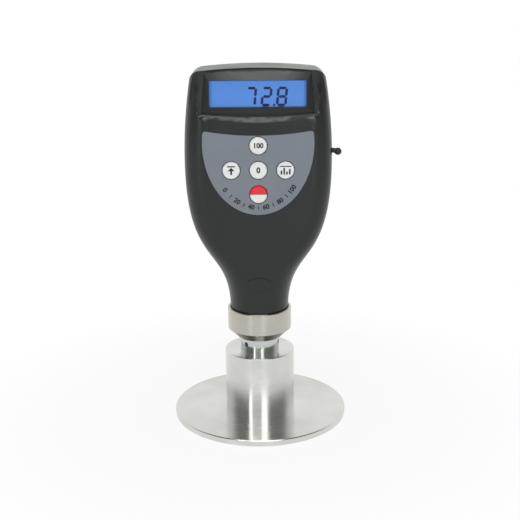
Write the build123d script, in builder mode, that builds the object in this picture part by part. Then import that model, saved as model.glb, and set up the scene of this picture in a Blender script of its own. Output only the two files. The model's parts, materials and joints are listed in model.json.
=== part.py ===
"""Portable hardness tester for foam and sponge: a moulded hand case with a display and five keys,
a spring-loaded measuring probe in its neck, and a wide turned pressure foot to stand on.

Units are millimetres. Z is up, the display faces -Y, and the origin is the centre of the underside
of the pressure foot.
"""

import math
import os

from build123d import *

os.makedirs("parts", exist_ok=True)

# ---------------------------------------------------------------- driving dimensions
# Case
CASE_TOP = 161.4  # height of the case above the foot face
CASE_HALF_WIDTH = 32.4  # widest half width of the case
TOP_HALF_WIDTH = 28.5  # half width at the top, to which the flanks lean in
CASE_FRONT = 13.2  # flat front face lies this far in front of the probe axis
CASE_BACK = 14.0  # back face behind the probe axis
NECK_RADIUS = 13.2
NECK_BOTTOM = 46.0  # lower end of the case, inside the collar
NECK_TOP = 50.0  # the flanks begin to swell here
SHOULDER_Z = 120.5  # height of the widest place
NECK_HANDLE = 32.6  # how long the flank stays close to the neck
SHOULDER_HANDLE = 50.4  # how long the flank stays close to its widest place
FLANK_STEPS = 10  # sections of the case between neck and shoulder
UPPER_STEPS = 4  # and above the shoulder
UPPER_OVERRUN = 6.0  # the sections run past the top, which is then cut to its outline
BACK_HURRY = 1.6  # the back swells this many times as fast as the flanks
FRONT_CORNER = 9.0  # corner radii of the case seen from above
BACK_CORNER = 5.5
TOP_SAG = 1.8  # fall of the top edge from its middle to its corners
TOP_CORNER = 5.6
TOP_FRONT_EDGE = 1.6
TOP_BACK_EDGE = 4.0
WALL = 2.0
SEAM_WIDTH = 0.5
SEAM_DEPTH = 0.35
SEAM_BOTTOM = 55.0
SEAM_TOP_MARGIN = 1.0
BEYOND = 300.0  # farther than any face of the case, for cuts that run right through

# Display head: half widths, and distances below the top of the case, of points on its right side
HEAD_FRONT = 14.0
HEAD_ROOT = 9.5  # depth to which the head's sloping flanks reach
HEAD_ROOT_CORNER = (28.4, 25.0)
HEAD_ROOT_SIDE = (29.3, 13.9)
HEAD_ROOT_TOP_CORNER = (26.6, 0.2)
HEAD_ROOT_SPAN = (33.3, -1.6)  # distance of its lower and upper edge on the centre line
HEAD_CREST_CORNER = (25.0, 19.8)
HEAD_CREST_SIDE = (23.9, 9.3)
HEAD_CREST_TOP_CORNER = (23.25, 1.9)
HEAD_CREST_SPAN = (20.9, 0.45)
HEAD_TRIM = 0.3
HEAD_RIM = 0.5
WINDOW_WIDTH = 41.4
WINDOW_HEIGHT = 11.3
WINDOW_Z = CASE_TOP - 10.95
WINDOW_FLOOR = 11.8  # the window lies this far in front of the probe axis
WINDOW_BACKING = 10.4  # inner face of the wall round the window
BACKING_MARGIN = 2.7

# Keypad
OVERLAY_HALF_WIDTH = 24.15
OVERLAY_HALF_HEIGHT = 31.3
OVERLAY_Z = 129.2
OVERLAY_TOP = 132.75
OVERLAY_TOP_RADIUS = 134.6
OVERLAY_CORNER = 1.2
OVERLAY_THICKNESS = 0.5
OVERLAY_POCKET = 0.7
OVERLAY_GAP = 0.15
KEY_RADIUS = 3.75
KEY_GAP = 0.35
KEY_PROUD = 0.5
KEY_EDGE = 0.3
KEY_TRAVEL = 0.5
KEY_FLANGE = 0.85
KEY_PITCH_X = 11.75
KEY_PITCH_Z = 10.7
KEY_ROW_Z = 117.7
KEYS = {
    "upper_key": (0, KEY_ROW_Z + KEY_PITCH_Z),
    "left_key": (-KEY_PITCH_X, KEY_ROW_Z),
    "centre_key": (0, KEY_ROW_Z),
    "right_key": (KEY_PITCH_X, KEY_ROW_Z),
    "power_key": (0, KEY_ROW_Z - KEY_PITCH_Z),
}

# Neck badge: a plain oval boss
OVAL_WIDTH = 11.0
OVAL_HEIGHT = 6.0
OVAL_Z = 66.0
OVAL_PROUD = 0.4

# Foot and probe
FOOT_RADIUS = 40.0
FOOT_THICKNESS = 2.8
HUB_RADIUS = 16.0
HUB_TOP = 31.5
INDENTER_RADIUS = 12.6
INDENTER_THICKNESS = 3.0
INDENTER_REST = 0.69  # the indenter stands this far below the foot face at rest
INDENTER_EXTENSION = 1.85  # and can still come down this much
NOSE_RADIUS = 8.87
NOSE_BOTTOM = 12.0
NOSE_STUB_RADIUS = 7.0
NOSE_TOP = 48.0
NOSE_HOLE_FLOOR = 6.2  # the nose's radial holes end this far from its axis
SPANNER_HOLE_RADIUS = 0.7
SPANNER_HOLE_Z = 33.5
SPANNER_HOLE_ANGLES = (-90, 0, 90, 180)
PIN_HOLE_RADIUS = 1.1
PIN_HOLE_Z = 35.1
PIN_HOLE_ANGLES = (-134, -14, 106)
TURNED_EDGE = 0.3  # chamfer on the edges of turned parts
COLLAR_RADIUS = 14.6
COLLAR_TOP = 52.0
COLLAR_CONE_TOP = 42.1
COLLAR_BOTTOM = 37.9
COLLAR_TIP_RADIUS = 10.17
COLLAR_MOUTH_RADIUS = 13.57
GRUB_RADIUS = 1.25
GRUB_Z = 43.3
GRUB_HEX_RADIUS = 0.75
GRUB_HEX_DEPTH = 1.5
BARREL_RADIUS = 9.6
BARREL_BORE = 8.0
BARREL_BOTTOM = 40.2
BARREL_TOP = 79.0
BARREL_FLANGE_RADIUS = 11.9
BARREL_FLANGE_Z = 48.0
BARREL_FLANGE = 2.0
ROD_RADIUS = 2.5
LOWER_BUSH_RADIUS = 4.5
LOWER_BUSH_LENGTH = 10.0
SPRING_CHAMBER_RADIUS = 5.2
SPRING_RADIUS = 3.8
SPRING_WIRE = 0.4  # radius of the wire
SPRING_TURNS = 6
SPRING_SEAT_RADIUS = 4.8
SPRING_SEAT_THICKNESS = 3.0
CLIP_RADIUS = 3.7
CLIP_GROOVE_RADIUS = 2.1
CLIP_THICKNESS = 0.6
CLIP_GAP = 2.0
UPPER_BUSH_LENGTH = 5.8
CORE_RADIUS = 2.3
CORE_LENGTH = 13.0
CORE_SPIGOT_RADIUS = 1.2
CORE_SPIGOT_LENGTH = 2.0
ROD_PROUD = 2.0  # length of rod above the upper bush
BOBBIN_CLEARANCE = 0.4  # between the bobbin's bore and what slides in it
BOBBIN_WALL = 1.1
BOBBIN_FLANGE = 1.5
WINDING_RADIUS = 7.4
CAP_PLUG = 4.0
CAP_HEAD = 1.6
LEAD_RADIUS = 0.9
LEAD_SIDES = 8  # the thin lead and the spring wire are drawn with few sides
SPRING_WIRE_SIDES = 5
LEAD_RISE = 1.5  # straight lengths of the lead above the cap and below its plug
LEAD_DROP = 3.0
LEAD_BENDS = (3.0, 2.0)
HEADER_HALF_WIDTH = 4.0
HEADER_DEPTH = 3.2
PLUG_HALF_WIDTH = 3.0
PLUG_LENGTH = 3.5
PLUG_MARGIN = 0.2  # the lead's plug is this much thinner than its header on each face

# Inside the case
BOARD_FRONT = 4.0  # the board's front face lies this far in front of the probe axis
BOARD_THICKNESS = 1.6
BOARD_BOTTOM = 92.0
BOARD_SHOULDER = 145.0
BOARD_TOP = CASE_TOP - 3.9
BOARD_HALF_WIDTH = 26.0
BOARD_HEAD_HALF_WIDTH = 22.6
BOARD_SCREWS = [(-22.5, 136.5), (22.5, 136.5), (-18.0, 96.0), (18.0, 96.0)]
BOARD_SCREW_HEAD = 1.2
BOARD_SCREW_GRIP = 5.0
CHIP_SIZE = (10.0, 10.0, 1.4)
CHIP_PLACE = (-8.0, 113.0)
CHIP_CORNER = 0.6
SMALL_PART_SIZE = (2.0, 1.2, 0.9)
SMALL_PART_XS = (4.0, 8.0, 12.0)
SMALL_PART_ZS = (108.0, 113.0, 118.0)
CAPACITOR_RADIUS = 1.8
CAPACITOR_HEIGHT = 1.6
CAPACITOR_PLACES = [(-14.0, 124.0), (-14.0, 130.0)]
CRYSTAL_SIZE = (9.0, 3.6, 1.7)
CRYSTAL_PLACE = (-8.0, 103.0)
SWITCH_SIZE = 6.0
SWITCH_HEIGHT = 3.5
SWITCH_PLUNGER_RADIUS = 1.7
SWITCH_WELL = 1.1
LCD_WIDTH = 43.8
LCD_HEIGHT = 13.2
LCD_THICKNESS = 1.8
PANE_THICKNESS = 1.0
BACKLIGHT_THICKNESS = 2.2
BACKLIGHT_LEG_RADIUS = 0.5
BACKLIGHT_LEG_INSET = 2.0
CONTACT_STRIP_HEIGHT = 1.2
CONTACT_STRIP_INSET = 1.0
FRAME_WALL = 0.6
SCREW_RADIUS = 1.1
SCREW_HEAD_RADIUS = 2.0
SCREW_HEAD = 1.5
SCREW_CROSS = (2.4, 0.5, 0.7)  # length, width and depth of the cross in the screw heads
BOSS_RADIUS = 2.8
CASE_SCREWS = [(-26.4, CASE_TOP - 10.6), (26.4, CASE_TOP - 10.6), (-19.0, 84.5), (19.0, 84.5)]
CASE_SCREW_SEAT = 9.0  # depth behind the axis at which the screw heads bear
CASE_SCREW_LENGTH = 15.0
RING_TOP = 57.0  # the ring that grips the probe barrel fills the neck up to here
RIB_Z = 70.0
RIB_THICKNESS = 2.0

# Batteries and their door
CELL_RADIUS = 5.25
CELL_LENGTH = 44.5
CELL_PITCH = 10.8
CELL_COUNT = 4
CELL_NUB_RADIUS = 1.9
CELL_NUB = 0.8
CELL_DEPTH = 6.2  # the cells' axes lie this far behind the probe axis
BAY_BOTTOM = 97.5
BAY_LENGTH = 50.5
BAY_FLOOR = 0.6
BAY_WALL = 1.2
CELL_RIDGE = (1.0, 1.4)  # width and height of the ridges between the cells
CONTACT_HALF_WIDTH = 4.0
CONTACT_BACK = 11.0
CONTACT_THICKNESS = 0.4
LEAF_WIDTH = 5.0
LEAF_REACH = 3.4
LEAF_THICKNESS = 0.3
LEAF_EDGE = 0.05  # share of the room by which the leaf's middle stays clear of both ends
DOOR_HALF_WIDTH = 22.4
DOOR_BOTTOM = 94.2
DOOR_SEAT = 12.4  # the door's inner face lies this far behind the probe axis
DOOR_GAP = 0.15
TONGUE_WIDTH = 0.9
TONGUE_THICKNESS = 0.6
TONGUE_TOP = CASE_TOP - 3.9
GRIP_ROWS = 6
GRIP_PITCH = 2.2
GRIP_SIZE = (16.0, 0.4, 1.0)  # width, depth and height of a grip groove
GRIP_BOTTOM = DOOR_BOTTOM + 8.0

# Data socket on the right side
SOCKET_Z = 124.8
SOCKET_Y = -3.2
SOCKET_RADIUS = 2.4
SOCKET_BODY = (10.8, 5.0, 7.0)
PLUG_STEM_RADIUS = 1.2
PLUG_TAB_RADIUS = 1.05
PLUG_BULB_RADIUS = 1.6
PLUG_REACH = 4.9
PLUG_DROOP = 12.0

# Clearances
FIT = 0.05  # radial running fit of turned and seated round parts
FREE = 0.3  # parts that must not touch


# ---------------------------------------------------------------- helpers
def turn(*points, mode=Mode.ADD):
    """Revolves a closed half profile of (radius, height) points about the probe axis."""
    with BuildSketch(Plane.XZ) as profile:
        with BuildLine():
            Polyline(*points, close=True)
        make_face()
    revolve(profile.sketch, axis=Axis.Z, mode=mode)


def block(x_range, y_range, z_range, mode=Mode.ADD):
    """Adds or cuts a box given by its lowest and highest coordinates."""
    spans = (x_range, y_range, z_range)
    with Locations(tuple(sum(span) / 2 for span in spans)):
        Box(*(span[1] - span[0] for span in spans), mode=mode)


def slab(x, z, width, height, y_front, y_back, mode=Mode.ADD):
    """Adds or cuts a box of this width and height centred on (x, z)."""
    block((x - width / 2, x + width / 2), (y_front, y_back), (z - height / 2, z + height / 2), mode=mode)


def front_plane(depth):
    """A drawing plane that faces the user, this far in front of the probe axis."""
    return Plane.XZ.offset(depth)


def radial_plane(angle, z, radius):
    """A drawing plane at this distance from the probe axis that faces outward at this angle."""
    outward = (math.cos(math.radians(angle)), math.sin(math.radians(angle)), 0)
    return Plane(origin=(radius * outward[0], radius * outward[1], z), x_dir=(0, 0, 1), z_dir=outward)


def post(x, z, radius, y_front, y_back, mode=Mode.ADD):
    """Adds or cuts a round post along Y at (x, z)."""
    with Locations(Location((x, (y_front + y_back) / 2, z), (90, 0, 0))):
        Cylinder(radius, y_back - y_front, mode=mode)


def coil_spring(radius, wire, length, turns):
    """A helical spring that stands on the drawing plane; wire is the radius of its wire."""
    with BuildPart() as spring:
        with BuildLine() as path:
            Helix((length - 2 * wire) / turns, length - 2 * wire, radius, center=(0, 0, wire))
        with BuildSketch(Plane(origin=path.line @ 0, z_dir=path.line % 0)):
            RegularPolygon(wire, SPRING_WIRE_SIDES)
        sweep(path=path.line, is_frenet=True)
    return spring.part


def save(builder, name):
    builder.part.label = name
    export_step(builder.part, f"parts/{name}.step")


# ---------------------------------------------------------------- case form
def flank_point(share):
    """Half width, height and swell (0 to 1) of the flank, from the neck to the shoulder."""
    rest = 1 - share
    swell = share * share * (3 - 2 * share)
    half = NECK_RADIUS + (CASE_HALF_WIDTH - NECK_RADIUS) * swell
    height = (
        NECK_TOP * rest**3
        + 3 * (NECK_TOP + NECK_HANDLE) * share * rest**2
        + 3 * (SHOULDER_Z - SHOULDER_HANDLE) * share**2 * rest
        + SHOULDER_Z * share**3
    )
    return half, height, swell


def upper_half_width(z):
    """Half width of the case above the shoulder."""
    rise = (z - SHOULDER_Z) / (CASE_TOP - SHOULDER_Z)
    return CASE_HALF_WIDTH - (CASE_HALF_WIDTH - TOP_HALF_WIDTH) * rise**2


stations = [(NECK_RADIUS, NECK_BOTTOM, 0.0)]
stations += [flank_point(step / FLANK_STEPS) for step in range(FLANK_STEPS + 1)]
upper_step = (CASE_TOP + UPPER_OVERRUN - SHOULDER_Z) / UPPER_STEPS
upper_heights = [SHOULDER_Z + step * upper_step for step in range(1, UPPER_STEPS + 1)]
stations += [(upper_half_width(z), z, 1.0) for z in upper_heights]


def case_loft(inset, ruled=False):
    """The case's flowing body, drawn in by inset all round, running on past the top."""
    with BuildPart() as form:
        for half, z, swell in stations:
            back_swell = min(1.0, BACK_HURRY * swell)
            front = CASE_FRONT - inset
            back = NECK_RADIUS + (CASE_BACK - NECK_RADIUS) * back_swell - inset
            round_corner = NECK_RADIUS - FIT - inset
            front_corner = round_corner + (FRONT_CORNER - NECK_RADIUS) * swell
            back_corner = round_corner + (BACK_CORNER - NECK_RADIUS) * swell
            with BuildSketch(Plane.XY.offset(z)):
                with Locations((0, (back - front) / 2)):
                    Rectangle(2 * (half - inset), front + back)
                fillet(vertices().group_by(Axis.Y)[0], front_corner)
                fillet(vertices().group_by(Axis.Y)[-1], back_corner)
        loft(ruled=ruled)
    return form.part


def front_outline(inset):
    """Solid bounded by the case's top edge and corners as seen from the front."""
    corner_z = CASE_TOP - TOP_SAG - inset
    middle_z = (SHOULDER_Z + corner_z) / 2
    side = [(upper_half_width(z) + FIT - inset, z) for z in (SHOULDER_Z, middle_z, corner_z)]
    mirrored = [(-x, z) for x, z in side]
    with BuildPart() as form:
        with BuildSketch(Plane.XZ):
            with BuildLine():
                ThreePointArc(*side)
                ThreePointArc(side[2], (0, CASE_TOP - inset), mirrored[2])
                ThreePointArc(*mirrored)
                Polyline(mirrored[0], (mirrored[0][0], 0), (side[0][0], 0), side[0])
            make_face()
            fillet(vertices().group_by(Axis.Y)[-1], TOP_CORNER - inset)
        extrude(amount=2 * CASE_BACK, both=True)
    return form.part


def side_outline(inset):
    """Solid bounded by the case's rounded top edges as seen from the side."""
    with BuildPart() as form:
        with BuildSketch(Plane.YZ):
            with Locations(((CASE_BACK - HEAD_FRONT) / 2, (CASE_TOP - inset) / 2)):
                Rectangle(CASE_BACK + HEAD_FRONT - 2 * inset, CASE_TOP - inset)
            top = vertices().group_by(Axis.Y)[-1].sort_by(Axis.X)
            fillet(top[0], max(TOP_FRONT_EDGE - inset, FIT))
            fillet(top[-1], max(TOP_BACK_EDGE - inset, FIT))
        extrude(amount=2 * CASE_HALF_WIDTH, both=True)
    return form.part


with BuildPart() as case_outer:
    add(case_loft(0))
    add(front_outline(0), mode=Mode.INTERSECT)
    add(side_outline(0), mode=Mode.INTERSECT)

with BuildPart() as case_cavity:
    add(case_loft(WALL, ruled=True))
    add(front_outline(WALL), mode=Mode.INTERSECT)
    add(side_outline(WALL), mode=Mode.INTERSECT)
    # ring and rib that grip the probe barrel
    bore = BARREL_RADIUS + FIT
    rib_top = RIB_Z + RIB_THICKNESS
    for bottom, top in ((NECK_BOTTOM, RING_TOP), (RIB_Z, rib_top)):
        block((-BEYOND, BEYOND), (-BEYOND, BEYOND), (bottom, top), mode=Mode.SUBTRACT)
    turn((0, NECK_BOTTOM), (bore, NECK_BOTTOM), (bore, rib_top + FIT), (0, rib_top + FIT))
    groove = BARREL_FLANGE_RADIUS + FIT
    turn(
        (0, BARREL_FLANGE_Z - FIT),
        (groove, BARREL_FLANGE_Z - FIT),
        (groove, BARREL_FLANGE_Z + BARREL_FLANGE + FIT),
        (0, BARREL_FLANGE_Z + BARREL_FLANGE + FIT),
    )

with BuildPart() as seam_groove:
    add(case_outer.part)
    add(case_loft(SEAM_DEPTH), mode=Mode.SUBTRACT)
    seam_span = (SEAM_BOTTOM, CASE_TOP - SEAM_TOP_MARGIN)
    block((-BEYOND, BEYOND), (-SEAM_WIDTH / 2, SEAM_WIDTH / 2), seam_span, mode=Mode.INTERSECT)


# ---------------------------------------------------------------- front shell
def head_outline(corner, side, top_corner, span, trim=0):
    """Closed outline of the display head, drawn in by trim, from the points on its right side."""
    right_corner = (corner[0] - trim, CASE_TOP - corner[1] + trim)
    right_side = (side[0] - trim, CASE_TOP - side[1])
    right_top = (top_corner[0] - trim, CASE_TOP - top_corner[1] - trim)
    bottom_middle = (0, CASE_TOP - span[0] + trim)
    top_middle = (0, CASE_TOP - span[1] - trim)
    left_corner, left_side, left_top = ((-x, z) for x, z in (right_corner, right_side, right_top))
    ThreePointArc(left_corner, bottom_middle, right_corner)
    ThreePointArc(right_corner, right_side, right_top)
    ThreePointArc(right_top, top_middle, left_top)
    ThreePointArc(left_top, left_side, left_corner)


def overlay_outline(grow):
    """Shield shape of the keypad overlay: an ellipse with a sagging top edge."""
    with BuildSketch(Plane.XY) as outline:
        with Locations((0, OVERLAY_Z)):
            Ellipse(OVERLAY_HALF_WIDTH + grow, OVERLAY_HALF_HEIGHT + grow)
        with Locations((0, OVERLAY_TOP + OVERLAY_TOP_RADIUS)):
            Circle(OVERLAY_TOP_RADIUS - grow, mode=Mode.SUBTRACT)
        fillet(outline.vertices().group_by(Axis.Y)[-1], OVERLAY_CORNER)
    return outline.sketch


head_root = (HEAD_ROOT_CORNER, HEAD_ROOT_SIDE, HEAD_ROOT_TOP_CORNER, HEAD_ROOT_SPAN)
head_crest = (HEAD_CREST_CORNER, HEAD_CREST_SIDE, HEAD_CREST_TOP_CORNER, HEAD_CREST_SPAN)

with BuildPart() as display_head:
    for depth, outline in ((HEAD_ROOT, head_root), (HEAD_FRONT, head_crest)):
        with BuildSketch(front_plane(depth)):
            with BuildLine():
                head_outline(*outline)
            make_face()
    loft(ruled=True)
    add(front_outline(HEAD_TRIM), mode=Mode.INTERSECT)

with BuildPart() as display_recess:
    with BuildSketch(front_plane(WINDOW_FLOOR)):
        with Locations((0, WINDOW_Z)):
            Rectangle(WINDOW_WIDTH, WINDOW_HEIGHT)
    with BuildSketch(front_plane(HEAD_FRONT + FIT)):
        with BuildLine():
            head_outline(*head_crest, trim=HEAD_RIM)
        make_face()
    loft(ruled=True)

overlay_seat = CASE_FRONT - OVERLAY_POCKET
inner_front = CASE_FRONT - WALL
board_back = BOARD_FRONT - BOARD_THICKNESS
screw_bore = SCREW_RADIUS + FIT

with BuildPart() as front_hollow:
    # the cavity, less the backing round the window and the bosses for the board and case screws
    add(case_cavity.part)
    block((-BEYOND, BEYOND), (0, BEYOND), (0, BEYOND), mode=Mode.SUBTRACT)
    backing_width = WINDOW_WIDTH + 2 * BACKING_MARGIN
    backing_height = WINDOW_HEIGHT + 2 * BACKING_MARGIN
    slab(0, WINDOW_Z, backing_width, backing_height, -CASE_FRONT, -WINDOW_BACKING, mode=Mode.SUBTRACT)
    for x, z in BOARD_SCREWS:
        post(x, z, BOSS_RADIUS, -CASE_FRONT, -BOARD_FRONT, mode=Mode.SUBTRACT)
    for x, z in CASE_SCREWS:
        post(x, z, BOSS_RADIUS, -CASE_FRONT, WALL, mode=Mode.SUBTRACT)

with BuildPart() as front_shell:
    add(case_outer.part)
    add(display_head.part)
    # plain oval boss on the neck
    with BuildSketch(front_plane(inner_front + FIT)):
        with Locations((0, OVAL_Z)):
            Ellipse(OVAL_WIDTH / 2, OVAL_HEIGHT / 2)
    extrude(amount=WALL + OVAL_PROUD - FIT)
    block((-BEYOND, BEYOND), (0, BEYOND), (0, BEYOND), mode=Mode.SUBTRACT)
    add(front_hollow.part, mode=Mode.SUBTRACT)
    add(display_recess.part, mode=Mode.SUBTRACT)
    slab(0, WINDOW_Z, WINDOW_WIDTH, WINDOW_HEIGHT, -WINDOW_FLOOR - FIT, 0, mode=Mode.SUBTRACT)
    # pocket of the overlay and the key holes
    with BuildSketch(front_plane(overlay_seat)):
        add(overlay_outline(OVERLAY_GAP))
    extrude(amount=WALL, mode=Mode.SUBTRACT)
    for x, z in KEYS.values():
        post(x, z, KEY_RADIUS + KEY_GAP, -CASE_FRONT, -inner_front + FIT, mode=Mode.SUBTRACT)
    for x, z in BOARD_SCREWS:
        post(x, z, screw_bore, -inner_front + WALL, -BOARD_FRONT, mode=Mode.SUBTRACT)
    for x, z in CASE_SCREWS:
        tip = CASE_SCREW_SEAT - CASE_SCREW_LENGTH - FREE
        post(x, z, screw_bore, tip, 0, mode=Mode.SUBTRACT)
    # socket hole in the right wall
    with Locations(Location((CASE_HALF_WIDTH, SOCKET_Y, SOCKET_Z), (0, 90, 0))):
        Cylinder(SOCKET_RADIUS + FIT, 4 * WALL, mode=Mode.SUBTRACT)
    add(seam_groove.part, mode=Mode.SUBTRACT)
save(front_shell, "front_shell")

# ---------------------------------------------------------------- rear shell
bay_half = CELL_COUNT * CELL_PITCH / 2 + FREE
bay_top = BAY_BOTTOM + BAY_LENGTH
groove_half = DOOR_HALF_WIDTH + DOOR_GAP + TONGUE_WIDTH + DOOR_GAP
groove_back = DOOR_SEAT + TONGUE_THICKNESS + 2 * DOOR_GAP

with BuildPart() as rear_hollow:
    # the cavity, less the battery bay, the seat under its door and the case screws' bosses
    add(case_cavity.part)
    block((-BEYOND, BEYOND), (-BEYOND, 0), (0, BEYOND), mode=Mode.SUBTRACT)
    bay_wall_half = bay_half + BAY_WALL
    bay_walls = (BAY_BOTTOM - BAY_WALL, bay_top + BAY_WALL)
    block((-bay_wall_half, bay_wall_half), (-WALL, CASE_BACK), bay_walls, mode=Mode.SUBTRACT)
    seat_half = groove_half + BAY_WALL
    seat_walls = (DOOR_BOTTOM - BAY_WALL, CASE_TOP)
    block((-seat_half, seat_half), (DOOR_SEAT - BAY_WALL, CASE_BACK), seat_walls, mode=Mode.SUBTRACT)
    for x, z in CASE_SCREWS:
        post(x, z, BOSS_RADIUS, -WALL, CASE_BACK, mode=Mode.SUBTRACT)

with BuildPart() as rear_shell:
    add(case_outer.part)
    block((-BEYOND, BEYOND), (-BEYOND, 0), (0, BEYOND), mode=Mode.SUBTRACT)
    add(rear_hollow.part, mode=Mode.SUBTRACT)
    block((-bay_half, bay_half), (BAY_FLOOR, BEYOND), (BAY_BOTTOM, bay_top), mode=Mode.SUBTRACT)
    ridge_width, ridge_height = CELL_RIDGE
    for index in range(1, CELL_COUNT):
        x = (index - CELL_COUNT / 2) * CELL_PITCH
        slab(
            x,
            (BAY_BOTTOM + bay_top) / 2,
            ridge_width,
            BAY_LENGTH + 2 * FIT,
            BAY_FLOOR - FIT,
            BAY_FLOOR + ridge_height,
        )
    for x, z in CASE_SCREWS:
        post(x, z, screw_bore, 0, CASE_BACK, mode=Mode.SUBTRACT)
        post(x, z, SCREW_HEAD_RADIUS + FREE, CASE_SCREW_SEAT, CASE_BACK + WALL, mode=Mode.SUBTRACT)
    # seat and grooves of the sliding door, open at the top
    door_recess = DOOR_HALF_WIDTH + DOOR_GAP
    door_end = DOOR_BOTTOM - DOOR_GAP
    block((-door_recess, door_recess), (DOOR_SEAT, BEYOND), (door_end, BEYOND), mode=Mode.SUBTRACT)
    block((-groove_half, groove_half), (DOOR_SEAT, groove_back), (door_end, BEYOND), mode=Mode.SUBTRACT)
    add(seam_groove.part, mode=Mode.SUBTRACT)
save(rear_shell, "rear_shell")

# ---------------------------------------------------------------- battery door
with BuildPart() as battery_door:
    add(case_outer.part)
    block(
        (-DOOR_HALF_WIDTH, DOOR_HALF_WIDTH),
        (DOOR_SEAT + FIT, BEYOND),
        (DOOR_BOTTOM, BEYOND),
        mode=Mode.INTERSECT,
    )
    tongue = DOOR_HALF_WIDTH + TONGUE_WIDTH
    tongue_front = DOOR_SEAT + DOOR_GAP
    block((-tongue, tongue), (tongue_front, tongue_front + TONGUE_THICKNESS), (DOOR_BOTTOM, TONGUE_TOP))
    # finger grip: a field of grooves
    grip_width, grip_depth, grip_height = GRIP_SIZE
    with Locations(*((0, CASE_BACK, GRIP_BOTTOM + GRIP_PITCH * row) for row in range(GRIP_ROWS))):
        Box(grip_width, 2 * grip_depth, grip_height, mode=Mode.SUBTRACT)
save(battery_door, "battery_door")

# ---------------------------------------------------------------- keypad
overlay_front = overlay_seat + OVERLAY_THICKNESS
with BuildPart() as keypad_overlay:
    with BuildSketch(front_plane(overlay_seat)) as overlay_face:
        add(overlay_outline(0))
        with Locations(*KEYS.values()):
            Circle(KEY_RADIUS + KEY_GAP, mode=Mode.SUBTRACT)
    extrude(amount=OVERLAY_THICKNESS)
save(keypad_overlay, "keypad_overlay")

key_face = overlay_front + KEY_PROUD
flange_front = inner_front - FIT
key_back = flange_front - KEY_FLANGE
switch_front = BOARD_FRONT + SWITCH_HEIGHT
for name, (x, z) in KEYS.items():
    with BuildPart() as key:
        post(x, z, KEY_RADIUS, -key_face, -key_back)
        chamfer(faces().sort_by(Axis.Y)[0].edges(), KEY_EDGE)
        post(x, z, KEY_RADIUS + 2 * KEY_GAP, -flange_front, -key_back)
    save(key, name)
    with BuildPart() as plunger:
        post(x, z, SWITCH_PLUNGER_RADIUS, -key_back, -switch_front + KEY_TRAVEL)
    save(plunger, name.replace("key", "switch_plunger"))

with BuildPart() as key_switches:
    for x, z in KEYS.values():
        slab(x, z, SWITCH_SIZE, SWITCH_SIZE, -switch_front, -BOARD_FRONT)
        well_floor = -switch_front + SWITCH_WELL
        post(x, z, SWITCH_PLUNGER_RADIUS + FIT, -switch_front, well_floor, mode=Mode.SUBTRACT)
save(key_switches, "key_switches")

# ---------------------------------------------------------------- display stack
pane_back = WINDOW_BACKING - PANE_THICKNESS
lcd_back = pane_back - LCD_THICKNESS
backlight_back = lcd_back - BACKLIGHT_THICKNESS
lcd_bottom = WINDOW_Z - LCD_HEIGHT / 2
lcd_top = WINDOW_Z + LCD_HEIGHT / 2
strip_top = lcd_bottom + CONTACT_STRIP_HEIGHT

with BuildPart() as display_window:
    slab(0, WINDOW_Z, LCD_WIDTH, LCD_HEIGHT, -WINDOW_BACKING, -pane_back)
save(display_window, "display_window")

with BuildPart() as lcd_panel:
    slab(0, WINDOW_Z, LCD_WIDTH, LCD_HEIGHT, -pane_back, -lcd_back)
save(lcd_panel, "lcd_panel")

with BuildPart() as contact_strip:
    strip_half = LCD_WIDTH / 2 - CONTACT_STRIP_INSET
    block((-strip_half, strip_half), (-lcd_back, -BOARD_FRONT), (lcd_bottom, strip_top))
save(contact_strip, "contact_strip")

with BuildPart() as lcd_backlight:
    block((-LCD_WIDTH / 2, LCD_WIDTH / 2), (-lcd_back, -backlight_back), (strip_top + FREE, lcd_top))
    leg_x = LCD_WIDTH / 2 - BACKLIGHT_LEG_INSET
    for x in (-leg_x, leg_x):
        post(x, WINDOW_Z, BACKLIGHT_LEG_RADIUS, -backlight_back, -BOARD_FRONT)
save(lcd_backlight, "lcd_backlight")

frame_width = LCD_WIDTH + 2 * FIT
frame_height = LCD_HEIGHT + 2 * FIT
with BuildPart() as display_frame:
    with BuildSketch(front_plane(BOARD_FRONT)):
        with Locations((0, WINDOW_Z)):
            Rectangle(frame_width + 2 * FRAME_WALL, frame_height + 2 * FRAME_WALL)
            Rectangle(frame_width, frame_height, mode=Mode.SUBTRACT)
    extrude(amount=WINDOW_BACKING - BOARD_FRONT)
save(display_frame, "display_frame")

# ---------------------------------------------------------------- main board
socket_depth, socket_thickness, socket_height = SOCKET_BODY
socket_outer = CASE_HALF_WIDTH - WALL - FREE
socket_inner = socket_outer - socket_depth
with BuildPart() as main_board:
    block((-BOARD_HALF_WIDTH, BOARD_HALF_WIDTH), (-BOARD_FRONT, -board_back), (BOARD_BOTTOM, BOARD_SHOULDER))
    head_span = (BOARD_SHOULDER - FIT, BOARD_TOP)
    block((-BOARD_HEAD_HALF_WIDTH, BOARD_HEAD_HALF_WIDTH), (-BOARD_FRONT, -board_back), head_span)
    block(
        (socket_inner - FIT, BEYOND),
        (-BEYOND, BEYOND),
        (SOCKET_Z - socket_height / 2 - FIT, SOCKET_Z + socket_height / 2 + FIT),
        mode=Mode.SUBTRACT,
    )
    for x, z in BOARD_SCREWS:
        post(x, z, screw_bore, -BOARD_FRONT - WALL, 0, mode=Mode.SUBTRACT)
save(main_board, "main_board")

with BuildPart() as controller_chip:
    chip_width, chip_height, chip_depth = CHIP_SIZE
    slab(*CHIP_PLACE, chip_width, chip_height, -board_back, -board_back + chip_depth)
    chamfer(edges().filter_by(Axis.Y), CHIP_CORNER)
save(controller_chip, "controller_chip")

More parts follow.
